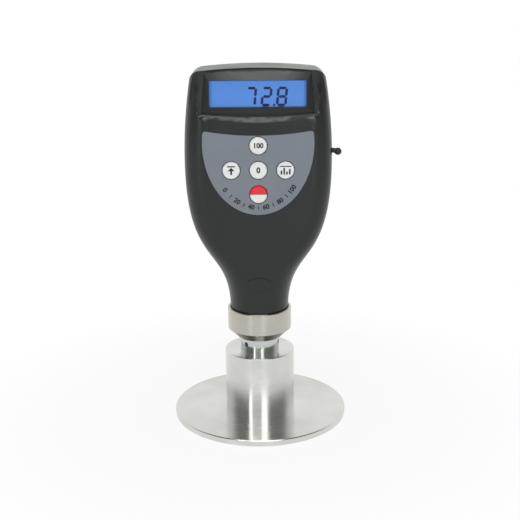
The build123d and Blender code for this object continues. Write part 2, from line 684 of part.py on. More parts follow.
with BuildPart() as board_components:
    part_width, part_height, part_depth = SMALL_PART_SIZE
    for x in SMALL_PART_XS:
        for z in SMALL_PART_ZS:
            slab(x, z, part_width, part_height, -board_back, -board_back + part_depth)
    for x, z in CAPACITOR_PLACES:
        post(x, z, CAPACITOR_RADIUS, -board_back, -board_back + CAPACITOR_HEIGHT)
save(board_components, "board_components")

with BuildPart() as quartz_crystal:
    crystal_length, crystal_width, crystal_depth = CRYSTAL_SIZE
    with BuildSketch(front_plane(board_back)):
        with Locations(CRYSTAL_PLACE):
            SlotOverall(crystal_length, crystal_width)
    extrude(amount=-crystal_depth)
save(quartz_crystal, "quartz_crystal")

with BuildPart() as board_screws:
    for x, z in BOARD_SCREWS:
        post(x, z, SCREW_RADIUS, -BOARD_FRONT - BOARD_SCREW_GRIP, -board_back)
        post(x, z, SCREW_HEAD_RADIUS, -board_back, -board_back + BOARD_SCREW_HEAD)
save(board_screws, "board_screws")

with BuildPart() as case_screws:
    cross_length, cross_width, cross_depth = SCREW_CROSS
    for x, z in CASE_SCREWS:
        post(x, z, SCREW_RADIUS, CASE_SCREW_SEAT - CASE_SCREW_LENGTH, CASE_SCREW_SEAT)
        post(x, z, SCREW_HEAD_RADIUS, CASE_SCREW_SEAT, CASE_SCREW_SEAT + SCREW_HEAD)
        cross_floor = CASE_SCREW_SEAT + SCREW_HEAD - cross_depth
        for width, height in ((cross_length, cross_width), (cross_width, cross_length)):
            slab(x, z, width, height, cross_floor, cross_floor + SCREW_HEAD, mode=Mode.SUBTRACT)
save(case_screws, "case_screws")

# ---------------------------------------------------------------- data socket and its plug
socket_axis = Plane(origin=(socket_inner, SOCKET_Y, SOCKET_Z), x_dir=(0, 1, 0), z_dir=(1, 0, 0))
bore_depth = PLUG_REACH + FREE
socket_nose = WALL - FREE
with BuildPart() as data_socket:
    with BuildSketch(socket_axis):
        Rectangle(socket_thickness, socket_height)
    extrude(amount=socket_depth)
    with BuildSketch(socket_axis.offset(socket_depth)):
        Circle(SOCKET_RADIUS)
    extrude(amount=socket_nose)
    with BuildSketch(socket_axis.offset(socket_depth + socket_nose)):
        Circle(PLUG_STEM_RADIUS + FIT)
    extrude(amount=-bore_depth - socket_nose, mode=Mode.SUBTRACT)
save(data_socket, "data_socket")

plug_face = socket_depth + socket_nose
droop = math.radians(PLUG_DROOP)
tab_plane = Plane(
    origin=(socket_inner + plug_face, SOCKET_Y, SOCKET_Z),
    x_dir=(0, 1, 0),
    z_dir=(math.cos(droop), 0, -math.sin(droop)),
)
tab_length = PLUG_REACH - PLUG_BULB_RADIUS
with BuildPart() as socket_plug:
    with BuildSketch(socket_axis.offset(plug_face - PLUG_REACH)):
        Circle(PLUG_STEM_RADIUS)
    extrude(amount=PLUG_REACH)
    with BuildSketch(socket_axis.offset(plug_face)):
        Circle(SOCKET_RADIUS - FIT)
    extrude(amount=FREE)
    # pull tab with a rounded end, drooping a little
    with BuildSketch(tab_plane):
        Circle(PLUG_TAB_RADIUS)
    extrude(amount=tab_length)
    with Locations(tab_plane.offset(tab_length)):
        Sphere(PLUG_BULB_RADIUS)
save(socket_plug, "socket_plug")

# ---------------------------------------------------------------- batteries
cell_xs = [(index - (CELL_COUNT - 1) / 2) * CELL_PITCH for index in range(CELL_COUNT)]
with BuildPart() as battery_cells:
    for index, x in enumerate(cell_xs):
        # cells lie head to tail: each nub touches its contact, a spring presses the other end
        up = index % 2 == 0
        nub_end = bay_top - CONTACT_THICKNESS if up else BAY_BOTTOM + CONTACT_THICKNESS
        tail = nub_end - CELL_LENGTH if up else nub_end + CELL_LENGTH
        neck = nub_end - CELL_NUB if up else nub_end + CELL_NUB
        with Locations((x, CELL_DEPTH, (tail + neck) / 2)):
            Cylinder(CELL_RADIUS, CELL_LENGTH - CELL_NUB)
        with Locations((x, CELL_DEPTH, (neck + nub_end) / 2)):
            Cylinder(CELL_NUB_RADIUS, CELL_NUB)
save(battery_cells, "battery_cells")

spring_room = BAY_LENGTH - 2 * CONTACT_THICKNESS - CELL_LENGTH
with BuildPart() as battery_springs:
    for index, x in enumerate(cell_xs):
        # a folded leaf that stands between the contact and the tail of its cell
        up = index % 2 == 0
        base = BAY_BOTTOM + CONTACT_THICKNESS if up else bay_top - CONTACT_THICKNESS
        rise = spring_room if up else -spring_room
        with BuildSketch(Plane.YZ.offset(x - LEAF_WIDTH / 2)):
            with BuildLine() as fold:
                Polyline(
                    (CELL_DEPTH + LEAF_REACH, base + rise * LEAF_EDGE),
                    (CELL_DEPTH - LEAF_REACH, base + rise * LEAF_EDGE),
                    (CELL_DEPTH + LEAF_REACH / 2, base + rise * (1 - LEAF_EDGE)),
                    (CELL_DEPTH - LEAF_REACH / 2, base + rise * (1 - LEAF_EDGE)),
                )
            trace(line_width=LEAF_THICKNESS)
        extrude(amount=LEAF_WIDTH)
save(battery_springs, "battery_springs")

with BuildPart() as battery_contacts:
    for z in (BAY_BOTTOM, bay_top - CONTACT_THICKNESS):
        for x in cell_xs:
            sides = (x - CONTACT_HALF_WIDTH, x + CONTACT_HALF_WIDTH)
            block(sides, (BAY_FLOOR, CONTACT_BACK), (z, z + CONTACT_THICKNESS))
save(battery_contacts, "battery_contacts")

# ---------------------------------------------------------------- pressure foot and indenter
pocket_top = INDENTER_THICKNESS + FREE + FIT
pocket_radius = INDENTER_RADIUS + 3 * FIT
rod_passage = ROD_RADIUS + 2 * FREE
nose_seat = NOSE_RADIUS + FIT

with BuildPart() as pressure_foot:
    turn(
        (pocket_radius, 0),
        (FOOT_RADIUS - TURNED_EDGE, 0),
        (FOOT_RADIUS, TURNED_EDGE),
        (FOOT_RADIUS, FOOT_THICKNESS - TURNED_EDGE),
        (FOOT_RADIUS - TURNED_EDGE, FOOT_THICKNESS),
        (HUB_RADIUS, FOOT_THICKNESS),
        (HUB_RADIUS, HUB_TOP - TURNED_EDGE),
        (HUB_RADIUS - TURNED_EDGE, HUB_TOP),
        (nose_seat, HUB_TOP),
        (nose_seat, NOSE_BOTTOM),
        (rod_passage, NOSE_BOTTOM),
        (rod_passage, pocket_top),
        (pocket_radius, pocket_top),
    )
save(pressure_foot, "pressure_foot")

head_bottom = -INDENTER_REST
head_top = head_bottom + INDENTER_THICKNESS
rod_bottom = head_bottom + INDENTER_THICKNESS / 2
with BuildPart() as indenter_head:
    turn(
        (0, head_bottom),
        (INDENTER_RADIUS - TURNED_EDGE, head_bottom),
        (INDENTER_RADIUS, head_bottom + TURNED_EDGE),
        (INDENTER_RADIUS, head_top),
        (ROD_RADIUS + FIT, head_top),
        (ROD_RADIUS + FIT, rod_bottom),
        (0, rod_bottom),
    )
save(indenter_head, "indenter_head")

# ---------------------------------------------------------------- probe nose and its bush
lower_bush_top = NOSE_BOTTOM + LOWER_BUSH_LENGTH
with BuildPart() as probe_nose:
    turn(
        (LOWER_BUSH_RADIUS + FIT, NOSE_BOTTOM),
        (NOSE_RADIUS, NOSE_BOTTOM),
        (NOSE_RADIUS, BARREL_BOTTOM),
        (NOSE_STUB_RADIUS, BARREL_BOTTOM),
        (NOSE_STUB_RADIUS, NOSE_TOP),
        (SPRING_CHAMBER_RADIUS, NOSE_TOP),
        (SPRING_CHAMBER_RADIUS, lower_bush_top),
        (LOWER_BUSH_RADIUS + FIT, lower_bush_top),
    )
    # spanner holes, and larger pin holes a little higher
    for radius, z, angles in (
        (SPANNER_HOLE_RADIUS, SPANNER_HOLE_Z, SPANNER_HOLE_ANGLES),
        (PIN_HOLE_RADIUS, PIN_HOLE_Z, PIN_HOLE_ANGLES),
    ):
        for angle in angles:
            with BuildSketch(radial_plane(angle, z, NOSE_HOLE_FLOOR)):
                Circle(radius)
            extrude(amount=NOSE_RADIUS, mode=Mode.SUBTRACT)
save(probe_nose, "probe_nose")

with BuildPart() as lower_bush:
    turn(
        (ROD_RADIUS + FIT, NOSE_BOTTOM),
        (LOWER_BUSH_RADIUS, NOSE_BOTTOM),
        (LOWER_BUSH_RADIUS, lower_bush_top),
        (ROD_RADIUS + FIT, lower_bush_top),
    )
save(lower_bush, "lower_bush")

# ---------------------------------------------------------------- collar
barrel_bore = BARREL_RADIUS + FIT
with BuildPart() as clamp_collar:
    turn(
        (nose_seat, COLLAR_BOTTOM),
        (COLLAR_TIP_RADIUS, COLLAR_BOTTOM),
        (COLLAR_RADIUS, COLLAR_CONE_TOP),
        (COLLAR_RADIUS, COLLAR_TOP - TURNED_EDGE),
        (COLLAR_RADIUS - TURNED_EDGE, COLLAR_TOP),
        (COLLAR_MOUTH_RADIUS, COLLAR_TOP),
        (COLLAR_MOUTH_RADIUS, NECK_BOTTOM),
        (barrel_bore, NECK_BOTTOM),
        (barrel_bore, BARREL_BOTTOM),
        (nose_seat, BARREL_BOTTOM),
    )
    with BuildSketch(radial_plane(90, GRUB_Z, barrel_bore - FREE)):
        Circle(GRUB_RADIUS + FIT)
    extrude(amount=COLLAR_RADIUS, mode=Mode.SUBTRACT)
save(clamp_collar, "clamp_collar")

with BuildPart() as collar_grub_screw:
    with BuildSketch(radial_plane(90, GRUB_Z, barrel_bore)):
        Circle(GRUB_RADIUS)
    extrude(amount=COLLAR_RADIUS - barrel_bore - FREE)
    with BuildSketch(radial_plane(90, GRUB_Z, COLLAR_RADIUS - FREE)):
        RegularPolygon(GRUB_HEX_RADIUS, 6)
    extrude(amount=-GRUB_HEX_DEPTH, mode=Mode.SUBTRACT)
save(collar_grub_screw, "collar_grub_screw")

# ---------------------------------------------------------------- barrel and what it holds
bush_bottom = NOSE_TOP + 4 * FIT
upper_bush_top = bush_bottom + UPPER_BUSH_LENGTH
cap_bottom = BARREL_TOP - CAP_PLUG
inner_fit = BARREL_BORE - FIT
with BuildPart() as probe_barrel:
    turn(
        (NOSE_STUB_RADIUS + FIT, BARREL_BOTTOM),
        (BARREL_RADIUS, BARREL_BOTTOM),
        (BARREL_RADIUS, BARREL_FLANGE_Z),
        (BARREL_FLANGE_RADIUS, BARREL_FLANGE_Z),
        (BARREL_FLANGE_RADIUS, BARREL_FLANGE_Z + BARREL_FLANGE),
        (BARREL_RADIUS, BARREL_FLANGE_Z + BARREL_FLANGE),
        (BARREL_RADIUS, BARREL_TOP),
        (BARREL_BORE, BARREL_TOP),
        (BARREL_BORE, bush_bottom),
        (NOSE_STUB_RADIUS + FIT, bush_bottom),
    )
save(probe_barrel, "probe_barrel")

with BuildPart() as upper_bush:
    turn(
        (ROD_RADIUS + FIT, bush_bottom),
        (inner_fit, bush_bottom),
        (inner_fit, upper_bush_top),
        (ROD_RADIUS + FIT, upper_bush_top),
    )
save(upper_bush, "upper_bush")

bobbin_bore = max(ROD_RADIUS, CORE_RADIUS) + BOBBIN_CLEARANCE
bobbin_waist = bobbin_bore + BOBBIN_WALL
lead_y = (bobbin_waist + WINDING_RADIUS) / 2
with BuildPart() as coil_bobbin:
    turn(
        (bobbin_bore, upper_bush_top),
        (inner_fit, upper_bush_top),
        (inner_fit, upper_bush_top + BOBBIN_FLANGE),
        (bobbin_waist, upper_bush_top + BOBBIN_FLANGE),
        (bobbin_waist, cap_bottom - BOBBIN_FLANGE),
        (inner_fit, cap_bottom - BOBBIN_FLANGE),
        (inner_fit, cap_bottom),
        (bobbin_bore, cap_bottom),
    )
    with Locations((0, lead_y, cap_bottom - BOBBIN_FLANGE / 2)):
        Cylinder(LEAD_RADIUS + FIT, 2 * BOBBIN_FLANGE, mode=Mode.SUBTRACT)
save(coil_bobbin, "coil_bobbin")

with BuildPart() as coil_winding:
    turn(
        (bobbin_waist + FIT, upper_bush_top + BOBBIN_FLANGE),
        (WINDING_RADIUS, upper_bush_top + BOBBIN_FLANGE),
        (WINDING_RADIUS, cap_bottom - BOBBIN_FLANGE),
        (bobbin_waist + FIT, cap_bottom - BOBBIN_FLANGE),
    )
save(coil_winding, "coil_winding")

with BuildPart() as barrel_cap:
    turn(
        (0, cap_bottom),
        (inner_fit, cap_bottom),
        (inner_fit, BARREL_TOP),
        (BARREL_RADIUS, BARREL_TOP),
        (BARREL_RADIUS, BARREL_TOP + CAP_HEAD),
        (0, BARREL_TOP + CAP_HEAD),
    )
    with Locations((0, lead_y, BARREL_TOP)):
        Cylinder(LEAD_RADIUS + FIT, 4 * CAP_PLUG, mode=Mode.SUBTRACT)
save(barrel_cap, "barrel_cap")

# ---------------------------------------------------------------- moving probe parts
clip_bottom = lower_bush_top + INDENTER_EXTENSION + FIT
seat_bottom = clip_bottom + CLIP_THICKNESS
seat_top = seat_bottom + SPRING_SEAT_THICKNESS
rod_top = upper_bush_top + ROD_PROUD
spigot_top = rod_top + CORE_SPIGOT_LENGTH
with BuildPart() as plunger_rod:
    turn(
        (0, rod_bottom),
        (ROD_RADIUS, rod_bottom),
        (ROD_RADIUS, clip_bottom - FIT),
        (CLIP_GROOVE_RADIUS, clip_bottom - FIT),
        (CLIP_GROOVE_RADIUS, seat_bottom),
        (ROD_RADIUS, seat_bottom),
        (ROD_RADIUS, rod_top),
        (CORE_SPIGOT_RADIUS, rod_top),
        (CORE_SPIGOT_RADIUS, spigot_top),
        (0, spigot_top),
    )
save(plunger_rod, "plunger_rod")

with BuildPart() as rod_clip:
    turn(
        (CLIP_GROOVE_RADIUS + FIT, clip_bottom),
        (CLIP_RADIUS, clip_bottom),
        (CLIP_RADIUS, seat_bottom),
        (CLIP_GROOVE_RADIUS + FIT, seat_bottom),
    )
    block((-CLIP_GAP / 2, CLIP_GAP / 2), (0, CLIP_RADIUS), (clip_bottom, seat_bottom), mode=Mode.SUBTRACT)
save(rod_clip, "rod_clip")

with BuildPart() as spring_seat:
    turn(
        (ROD_RADIUS + FIT, seat_bottom),
        (SPRING_SEAT_RADIUS, seat_bottom),
        (SPRING_SEAT_RADIUS, seat_top),
        (ROD_RADIUS + FIT, seat_top),
    )
save(spring_seat, "spring_seat")

with BuildPart() as sensor_core:
    turn(
        (CORE_SPIGOT_RADIUS + FIT, rod_top),
        (CORE_RADIUS, rod_top),
        (CORE_RADIUS, rod_top + CORE_LENGTH),
        (0, rod_top + CORE_LENGTH),
        (0, spigot_top),
        (CORE_SPIGOT_RADIUS + FIT, spigot_top),
    )
save(sensor_core, "sensor_core")

with BuildPart() as measuring_spring:
    with Locations((0, 0, seat_top)):
        add(coil_spring(SPRING_RADIUS, SPRING_WIRE, bush_bottom - seat_top, SPRING_TURNS))
save(measuring_spring, "measuring_spring")

# ---------------------------------------------------------------- sensor lead
header_bottom = BOARD_BOTTOM
header_back = -board_back + HEADER_DEPTH
plug_bottom = header_bottom - PLUG_LENGTH
plug_y = -board_back + HEADER_DEPTH / 2
with BuildPart() as lead_header:
    header_top = BAY_BOTTOM - BAY_WALL - FREE
    block((-HEADER_HALF_WIDTH, HEADER_HALF_WIDTH), (-board_back, header_back), (header_bottom, header_top))
save(lead_header, "lead_header")

with BuildPart() as lead_plug:
    plug_depths = (-board_back + PLUG_MARGIN, header_back - PLUG_MARGIN)
    block((-PLUG_HALF_WIDTH, PLUG_HALF_WIDTH), plug_depths, (plug_bottom, header_bottom))
save(lead_plug, "lead_plug")

cap_top = BARREL_TOP + CAP_HEAD
with BuildPart() as sensor_lead:
    with BuildLine() as route:
        FilletPolyline(
            (0, lead_y, cap_bottom - BOBBIN_FLANGE),
            (0, lead_y, cap_top + LEAD_RISE),
            (0, plug_y, plug_bottom - LEAD_DROP),
            (0, plug_y, plug_bottom),
            radius=LEAD_BENDS,
        )
    with BuildSketch(Plane(origin=route.line @ 0, z_dir=route.line % 0)):
        RegularPolygon(LEAD_RADIUS, LEAD_SIDES)
    sweep(path=route.line)
save(sensor_lead, "sensor_lead")
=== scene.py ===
"""Looks for the foam hardness tester.

Materials, the raised display frame, the plug's grip, the display digits, the print, light and camera.
"""

import json
import math

import bmesh
import bpy
from mathutils import Matrix, Vector


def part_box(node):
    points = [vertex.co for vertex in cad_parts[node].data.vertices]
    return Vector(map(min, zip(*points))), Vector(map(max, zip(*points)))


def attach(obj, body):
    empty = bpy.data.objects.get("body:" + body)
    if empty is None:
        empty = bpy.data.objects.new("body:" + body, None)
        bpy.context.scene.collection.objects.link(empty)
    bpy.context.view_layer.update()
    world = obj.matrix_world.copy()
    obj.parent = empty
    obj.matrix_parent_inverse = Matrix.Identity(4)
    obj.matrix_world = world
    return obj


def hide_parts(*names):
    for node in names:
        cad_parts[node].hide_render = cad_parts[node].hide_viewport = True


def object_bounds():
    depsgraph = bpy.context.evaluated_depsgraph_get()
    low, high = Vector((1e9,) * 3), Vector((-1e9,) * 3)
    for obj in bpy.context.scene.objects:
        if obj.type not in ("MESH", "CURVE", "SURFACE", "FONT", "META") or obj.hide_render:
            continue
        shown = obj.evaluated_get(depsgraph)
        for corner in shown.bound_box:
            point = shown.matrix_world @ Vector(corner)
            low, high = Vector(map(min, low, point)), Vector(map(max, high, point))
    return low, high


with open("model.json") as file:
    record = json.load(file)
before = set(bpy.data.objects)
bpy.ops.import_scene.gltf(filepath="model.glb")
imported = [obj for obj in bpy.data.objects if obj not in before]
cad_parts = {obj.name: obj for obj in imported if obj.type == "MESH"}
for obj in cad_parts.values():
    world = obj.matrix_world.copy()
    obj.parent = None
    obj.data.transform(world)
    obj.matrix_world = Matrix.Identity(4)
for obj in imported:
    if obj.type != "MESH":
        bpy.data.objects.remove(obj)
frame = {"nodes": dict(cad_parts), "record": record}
cad_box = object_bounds()
MM = 0.001


# ---------------------------------------------------------------- colour and node helpers
def srgb(red, green, blue):
    """Linear colour of an 8-bit screen colour."""
    def linear(value):
        value /= 255
        return value / 12.92 if value <= 0.04045 else ((value + 0.055) / 1.055) ** 2.4

    return (linear(red), linear(green), linear(blue), 1.0)


class Surface:
    """A procedural material being built round one Principled shader."""

    def __init__(self, name, colour, roughness, metallic=0.0, **sockets):
        self.material = bpy.data.materials.new(name)
        self.material.use_nodes = True
        self.tree = self.material.node_tree
        self.shader = self.tree.nodes["Principled BSDF"]
        self.shader.inputs["Base Color"].default_value = colour
        self.shader.inputs["Roughness"].default_value = roughness
        self.shader.inputs["Metallic"].default_value = metallic
        for socket, value in sockets.items():
            self.shader.inputs[socket.replace("_", " ")].default_value = value
        self.roughness = roughness
        self.normal = None

    def node(self, kind, **settings):
        made = self.tree.nodes.new(kind)
        for key, value in settings.items():
            setattr(made, key, value)
        return made

    def link(self, source, target):
        self.tree.links.new(source, target)

    def math(self, operation, first, second=None):
        made = self.node("ShaderNodeMath", operation=operation)
        for index, value in enumerate((first, second)):
            if value is None:
                continue
            if isinstance(value, (int, float)):
                made.inputs[index].default_value = value
            else:
                self.link(value, made.inputs[index])
        return made.outputs[0]

    def position(self):
        return self.node("ShaderNodeTexCoord").outputs["Object"]

    def axes(self):
        parts = self.node("ShaderNodeSeparateXYZ")
        self.link(self.position(), parts.inputs[0])
        return parts.outputs

    def radius(self, x, y):
        """Distance from the probe axis."""
        squares = self.math("ADD", self.math("MULTIPLY", x, x), self.math("MULTIPLY", y, y))
        return self.math("SQRT", squares)

    def noise(self, scale, detail=3.0, vector=None):
        made = self.node("ShaderNodeTexNoise")
        made.inputs["Scale"].default_value = scale
        made.inputs["Detail"].default_value = detail
        self.link(vector if vector is not None else self.position(), made.inputs["Vector"])
        return made.outputs["Fac"]

    def spread(self, factor, low, high, start=0.3, end=0.7):
        """Maps a factor from start..end to low..high."""
        made = self.node("ShaderNodeMapRange")
        made.inputs["From Min"].default_value = start
        made.inputs["From Max"].default_value = end
        made.inputs["To Min"].default_value = low
        made.inputs["To Max"].default_value = high
        self.link(factor, made.inputs["Value"])
        return made.outputs["Result"]

    def mix(self, factor, first, second):
        made = self.node("ShaderNodeMix", data_type="RGBA")
        self.link(factor, made.inputs["Factor"])
        for socket, value in (("A", first), ("B", second)):
            target = [item for item in made.inputs if item.name == socket and item.type == "RGBA"][0]
            if isinstance(value, tuple):
                target.default_value = value
            else:
                self.link(value, target)
        return [item for item in made.outputs if item.type == "RGBA"][0]

    def paint(self, output):
        self.link(output, self.shader.inputs["Base Color"])

    def vary_roughness(self, factor, amount):
        low = max(0.02, self.roughness - amount)
        self.link(self.spread(factor, low, self.roughness + amount), self.shader.inputs["Roughness"])

    def bump(self, height, distance):
        made = self.node("ShaderNodeBump")
        made.inputs["Distance"].default_value = distance
        self.link(height, made.inputs["Height"])
        if self.normal is not None:
            self.link(self.normal, made.inputs["Normal"])
        self.normal = made.outputs["Normal"]
        self.link(self.normal, self.shader.inputs["Normal"])


def scaled(colour, factor):
    return (colour[0] * factor, colour[1] * factor, colour[2] * factor, 1.0)


def add_piece(name, mesh, material, body):
    """Puts a new mesh with its material into the scene as a piece that rides a body."""
    mesh.materials.append(material)
    piece = bpy.data.objects.new(name, mesh)
    bpy.context.scene.collection.objects.link(piece)
    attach(piece, body)
    return piece


# ---------------------------------------------------------------- materials
GRAIN_SCALE = 2600.0  # noise scales, in cells per metre
GRAIN_DETAIL = 2.0
MOTTLE_SCALE = 60.0
LINE_SCALE = 5200.0
METAL_CLOUD_SCALE = 90.0
PLAIN_METAL_SCALE = 700.0
PLAIN_METAL_BUMP_SCALE = 1500.0
DISPLAY_CLOUD_SCALE = 70.0
PANE_CLOUD_SCALE = 40.0

# The display's darker ends are painted shade of the window's walls, and its darker top is a painted shadow of
# the window's top edge.
LCD_HALF = 20.7 * MM
LCD_PAINTED_END_SHADE_WIDTH = 1.3 * MM
LCD_PAINTED_SHADOW_START = 0.75 * MM  # painted shadow of the window's top edge; this and the next are both below the window's top edge
LCD_PAINTED_SHADOW_END = 0.2 * MM
LCD_PAINTED_END_SHADE = 0.55
LCD_PAINTED_TOP_SHADOW = 0.8
LCD_UNLIT = 0.12
LCD_GLOW = 0.92
WINDOW_MARGIN = 0.95 * MM  # the pane runs this far behind the frame above and below
WINDOW_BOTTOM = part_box("display_window")[0][2] + WINDOW_MARGIN
WINDOW_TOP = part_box("display_window")[1][2] - WINDOW_MARGIN
PANE_TINT = (0.02, 0.03, 0.05, 1.0)
PANE_ALPHA = 0.06
KEY_ROW = 117.7 * MM
KEY_STEP = 10.7 * MM

BLACK = srgb(25, 30, 29)
WHITE_KEY = srgb(236, 238, 236)
INK = srgb(22, 24, 26)


def moulded_plastic(name, colour, roughness=0.5, grain=0.00002, mottle=0.12, **sockets):
    """Moulded plastic with a fine spark-eroded grain and a faint unevenness of colour."""
    surface = Surface(name, colour, roughness, **sockets)
    broad = surface.noise(MOTTLE_SCALE)
    pale, deep = scaled(colour, 1 + mottle), scaled(colour, 1 - mottle)
    surface.paint(surface.mix(surface.spread(broad, 0, 1), deep, pale))
    surface.vary_roughness(broad, 0.05)
    surface.bump(surface.noise(GRAIN_SCALE, GRAIN_DETAIL), grain)
    return surface.material


def turned_metal(name, colour, roughness, line=0.000004, line_scale=LINE_SCALE):
    """Lathe-turned metal: fine lines run round the probe axis on faces and flanks alike."""
    surface = Surface(name, colour, roughness, metallic=1.0, Anisotropic=0.8, Anisotropic_Rotation=0.25)
    tangent = surface.node("ShaderNodeTangent", direction_type="RADIAL", axis="Z")
    surface.link(tangent.outputs[0], surface.shader.inputs["Tangent"])
    x, y, z = surface.axes()
    radius = surface.radius(x, y)
    rings = surface.node("ShaderNodeCombineXYZ")
    surface.link(radius, rings.inputs[0])
    surface.link(z, rings.inputs[1])
    lines = surface.noise(line_scale, GRAIN_DETAIL, rings.outputs[0])
    cloud = surface.noise(METAL_CLOUD_SCALE)
    surface.paint(surface.mix(surface.spread(cloud, 0, 1), scaled(colour, 0.94), scaled(colour, 1.04)))
    surface.vary_roughness(lines, 0.06)
    surface.bump(lines, line)
    return surface.material


def plain_metal(name, colour, roughness):
    surface = Surface(name, colour, roughness, metallic=1.0)
    surface.vary_roughness(surface.noise(PLAIN_METAL_SCALE), 0.08)
    surface.bump(surface.noise(PLAIN_METAL_BUMP_SCALE), 0.000004)
    return surface.material


def lit_display(name, colour):
    """The lit liquid crystal panel: even blue glow, with painted shade of the window's walls at its ends and
    a painted shadow of the window's top edge along its top.
    """
    surface = Surface(name, scaled(colour, LCD_UNLIT), 0.4)
    x, _, z = surface.axes()
    ends = surface.spread(surface.math("ABSOLUTE", x), 0.0, 1.0, LCD_HALF - LCD_PAINTED_END_SHADE_WIDTH, LCD_HALF)
    painted_top_shadow_mask = surface.spread(z, 0.0, 1.0, WINDOW_TOP - LCD_PAINTED_SHADOW_START, WINDOW_TOP - LCD_PAINTED_SHADOW_END)
    unevenness = surface.spread(surface.noise(DISPLAY_CLOUD_SCALE), 0, 1)
    cloud = surface.mix(unevenness, scaled(colour, 0.97), scaled(colour, 1.03))
    # painted shade at the ends and painted shadow along the top pull the glow towards the unlit colour
    painted_end_shade = surface.math("MULTIPLY", ends, LCD_PAINTED_END_SHADE)
    edge = surface.math("MAXIMUM", painted_end_shade, surface.math("MULTIPLY", painted_top_shadow_mask, LCD_PAINTED_TOP_SHADOW))
    surface.link(surface.mix(edge, cloud, scaled(colour, LCD_UNLIT)), surface.shader.inputs["Emission Color"])
    surface.shader.inputs["Emission Strength"].default_value = LCD_GLOW
    return surface.material


def two_tone_key(name, upper, lower, split_z):
    """The power key: one half red, one half white."""
    surface = Surface(name, upper, 0.38)
    _, _, z = surface.axes()
    above = surface.math("GREATER_THAN", z, split_z)
    surface.paint(surface.mix(above, lower, upper))
    surface.bump(surface.noise(GRAIN_SCALE, GRAIN_DETAIL), 0.00001)
    return surface.material


def clear_pane(name):
    """Thin clear window: mostly see-through, with a gloss on its face."""
    surface = Surface(name, PANE_TINT, 0.06, Specular_IOR_Level=0.25)
    surface.shader.inputs["Alpha"].default_value = PANE_ALPHA
    surface.vary_roughness(surface.noise(PANE_CLOUD_SCALE), 0.02)
    return surface.material


case_black = moulded_plastic("case_black", BLACK, 0.33, Specular_IOR_Level=0.44)
overlay_grey = moulded_plastic("overlay_grey", srgb(124, 131, 139), 0.5, grain=0.000012, mottle=0.04)
key_white = moulded_plastic("key_white", WHITE_KEY, 0.4, grain=0.000008, mottle=0.02)
power_key_paint = two_tone_key("power_key_paint", srgb(236, 44, 60), WHITE_KEY, KEY_ROW - KEY_STEP)
ink = moulded_plastic("printed_ink", INK, 0.55, grain=0.000004, mottle=0.05)
aluminium = turned_metal("turned_aluminium", srgb(214, 215, 211), 0.22, line=0.0000015)
chrome = turned_metal("chrome", srgb(195, 199, 197), 0.1, line=0.0000012)
collar_steel = turned_metal("collar_steel", srgb(190, 187, 178), 0.26)
dark_steel = turned_metal("dark_steel", srgb(150, 150, 148), 0.3)
brass = turned_metal("bush_brass", srgb(205, 165, 90), 0.3)
bright_metal = plain_metal("bright_metal", srgb(200, 200, 198), 0.3)
screw_steel = plain_metal("screw_steel", srgb(120, 120, 120), 0.35)
copper = turned_metal("copper_wire", srgb(190, 110, 70), 0.35, line=0.00002, line_scale=3000.0)
rubber = moulded_plastic("plug_rubber", srgb(38, 39, 39), 0.62, grain=0.000012)
cable = moulded_plastic("lead_rubber", srgb(30, 30, 30), 0.6)
board_green = moulded_plastic("board_green", srgb(30, 95, 55), 0.35)
chip_black = moulded_plastic("chip_black", srgb(30, 30, 32), 0.5)
tan_part = moulded_plastic("component_tan", srgb(180, 150, 110), 0.5)
ivory = moulded_plastic("connector_ivory", srgb(228, 222, 205), 0.5)
cell_jacket = moulded_plastic("cell_jacket", srgb(60, 105, 80), 0.3)
diffuser = moulded_plastic("diffuser_white", srgb(225, 230, 235), 0.4)
display_blue = lit_display("display_blue", srgb(82, 138, 220))
window_clear = clear_pane("window_clear")

SLOT_MATERIALS = {
    "case_plastic": case_black,
    "overlay_grey": overlay_grey,
    "key_white": key_white,
    "key_red": power_key_paint,
    "window_clear": window_clear,
    "lcd_blue": display_blue,
    "diffuser_white": diffuser,
    "frame_plastic": chip_black,
    "contact_rubber": rubber,
    "board_green": board_green,
    "chip_black": chip_black,
    "component_tan": tan_part,
    "bright_metal": bright_metal,
    "screw_steel": screw_steel,
    "foot_aluminium": aluminium,
    "nose_chrome": chrome,
    "collar_steel": collar_steel,
    "barrel_steel": dark_steel,
    "bush_brass": brass,
    "bobbin_plastic": ivory,
    "copper_wire": copper,
    "lead_rubber": cable,
    "plug_rubber": rubber,
    "cell_jacket": cell_jacket,
    "connector_white": ivory,
}
for entry in frame["record"]["subparts"]:
    for slot in frame["nodes"][entry["node"]].material_slots:
        slot.material = SLOT_MATERIALS[entry["material_slot"]]


# ---------------------------------------------------------------- raised display frame
CASE_FACE = 13.2 * MM  # depths in front of the probe axis
FRAME_FRONT = 14.0 * MM
WINDOW_FLOOR = 11.8 * MM
DISH_FLOOR = 11.9 * MM
HEAD_BOTTOM = 128.0 * MM
CREST_BOTTOM = 140.2 * MM
SIDE_FACE = 12.4 * MM
LIP_TOP = 139.0 * MM
SIDE_BOTTOM = 144.0 * MM
SLOPE_BREAK = math.radians(28.0)
TOLERANCE = 0.02 * MM
WELD_DISTANCE = 0.1 * TOLERANCE


